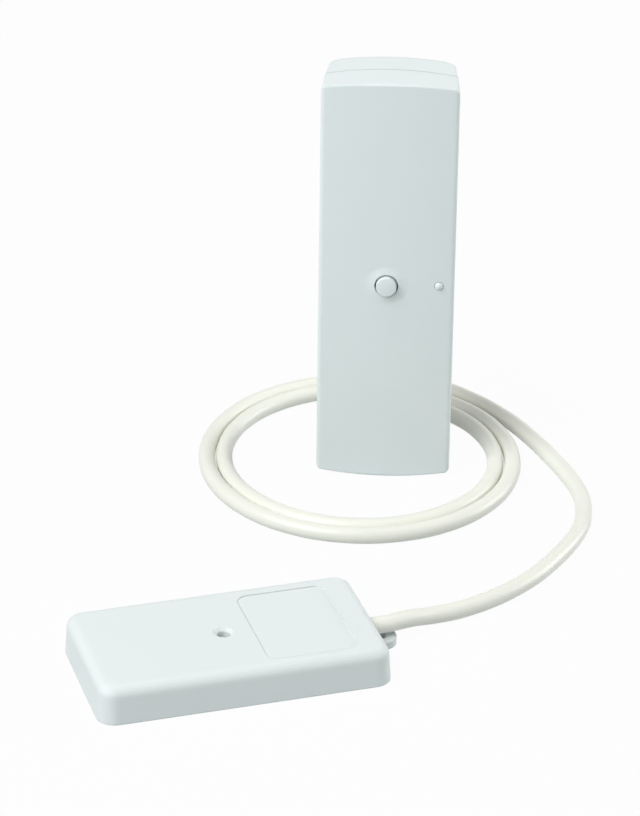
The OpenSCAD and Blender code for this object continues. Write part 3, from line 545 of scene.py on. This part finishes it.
class OBJECT_OT_leak_sensor_stage(bpy.types.Operator):
    """Sets the pale floor, the soft light and the camera"""

    bl_idname = "object.leak_sensor_stage"
    bl_label = "Stage"

    def execute(self, context):
        scene = context.scene
        scene.view_settings.view_transform = "Standard"
        self.floor(scene)
        self.light(scene)
        self.camera(scene)
        return {"FINISHED"}

    def floor(self, scene):
        """Lays the floor just under the object."""
        level = CAD_BOX[0][2] - FLOOR_GAP * MM
        corners = [(x * FLOOR_HALF, y * FLOOR_HALF, level)
                   for x, y in ((-1, -1), (1, -1), (1, 1), (-1, 1))]
        mesh = bpy.data.meshes.new("floor")
        mesh.from_pydata(corners, [], [(0, 1, 2, 3)])
        floor = bpy.data.objects.new("floor", mesh)
        scene.collection.objects.link(floor)
        # Paper, matt: nearly white to the eye, so that only a faint shadow is left
        material, tree, shader = new_material("matt paper")
        shader.inputs["Base Color"].default_value = (*scene.leak_sensor_stage.floor_colour, 1)
        shader.inputs["Roughness"].default_value = FLOOR_ROUGHNESS
        share = add(tree, "ShaderNodeMath", {1: FLOOR_WHITE_SHARE}, {0: seen_directly(tree)},
                    operation="MULTIPLY")
        white = add(tree, "ShaderNodeEmission", {"Color": WHITE, "Strength": 1.0})
        blend = add(tree, "ShaderNodeMixShader", None, {
            0: share.outputs[0], 1: shader.outputs["BSDF"], 2: white.outputs["Emission"]})
        tree.links.new(blend.outputs["Shader"], tree.nodes["Material Output"].inputs["Surface"])
        mesh.materials.append(material)

    def light(self, scene):
        """Sets the even light of the room and the lamps."""
        scene.world = bpy.data.worlds.new("studio")
        scene.world.use_nodes = True
        tree = scene.world.node_tree
        tree.nodes.clear()
        plain = add(tree, "ShaderNodeBackground",
                    {"Color": (*WORLD_COLOUR, 1), "Strength": WORLD_STRENGTH})
        white = add(tree, "ShaderNodeBackground", {"Color": WHITE, "Strength": 1.0})
        blend = add(tree, "ShaderNodeMixShader", None, {
            0: seen_directly(tree), 1: plain.outputs["Background"], 2: white.outputs["Background"]})
        add(tree, "ShaderNodeOutputWorld", None, {"Surface": blend.outputs["Shader"]})
        for name, place, watts, width in LAMPS:
            data = bpy.data.lights.new(name, "AREA")
            data.energy = watts
            data.size = width
            data.color = LAMP_COLOUR
            lamp = bpy.data.objects.new(name, data)
            lamp.location = place
            lamp.rotation_euler = (LAMPS_AIM - Vector(place)).to_track_quat("-Z", "Y").to_euler()
            scene.collection.objects.link(lamp)

    def camera(self, scene):
        """Puts the camera where the photograph was taken from."""
        data = bpy.data.cameras.new("camera")
        data.lens = CAMERA_LENS
        data.sensor_width = CAMERA_SENSOR
        data.clip_start = CAMERA_NEAR
        data.clip_end = CAMERA_FAR
        cos_p, sin_p = math.cos(CAMERA_PITCH), math.sin(CAMERA_PITCH)
        cos_y, sin_y = math.cos(CAMERA_YAW), math.sin(CAMERA_YAW)
        ahead = Vector((sin_y * cos_p, cos_y * cos_p, -sin_p))
        right = Vector((cos_y, -sin_y, 0))
        down = ahead.cross(right)
        cos_r, sin_r = math.cos(CAMERA_ROLL), math.sin(CAMERA_ROLL)
        across = right * cos_r + down * sin_r
        below = down * cos_r - right * sin_r
        turn = Matrix((across, -below, -ahead)).transposed()
        camera = bpy.data.objects.new("camera", data)
        camera.matrix_world = Matrix.Translation(CAMERA_AT * MM) @ turn.to_4x4()
        scene.collection.objects.link(camera)
        scene.camera = camera


GROUPS = {
    "leak_sensor_housing": LeakSensorHousing,
    "leak_sensor_cable": LeakSensorCable,
    "leak_sensor_stage": LeakSensorStage,
}
OPERATORS = (
    OBJECT_OT_leak_sensor_stage,
    OBJECT_OT_leak_sensor_cable,
    OBJECT_OT_leak_sensor_button,
    OBJECT_OT_leak_sensor_housings,
    OBJECT_OT_leak_sensor_electronics,
    OBJECT_OT_leak_sensor_contacts,
)


class VIEW3D_PT_leak_sensor(bpy.types.Panel):
    """Lists the pieces of the leak sensor and their settings"""

    bl_label = "Leak sensor"
    bl_idname = "VIEW3D_PT_leak_sensor"
    bl_space_type = "VIEW_3D"
    bl_region_type = "UI"
    bl_category = "Leak sensor"

    def draw(self, context):
        for name, group in GROUPS.items():
            for setting in group.__annotations__:
                self.layout.prop(getattr(context.scene, name), setting)
        for operator in OPERATORS:
            self.layout.operator(operator.bl_idname)


CLASSES = (*GROUPS.values(), *OPERATORS, VIEW3D_PT_leak_sensor)


def register():
    for cls in CLASSES:
        bpy.utils.register_class(cls)
    for name, group in GROUPS.items():
        setattr(bpy.types.Scene, name, bpy.props.PointerProperty(type=group))


def unregister():
    for name in GROUPS:
        delattr(bpy.types.Scene, name)
    for cls in reversed(CLASSES):
        bpy.utils.unregister_class(cls)


def main():
    """Dresses the solids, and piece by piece."""
    register()
    bpy.ops.object.leak_sensor_stage()
    bpy.ops.object.leak_sensor_cable()
    bpy.ops.object.leak_sensor_button()
    bpy.ops.object.leak_sensor_housings()
    bpy.ops.object.leak_sensor_electronics()
    bpy.ops.object.leak_sensor_contacts()


if __name__ == "__main__":
    main()
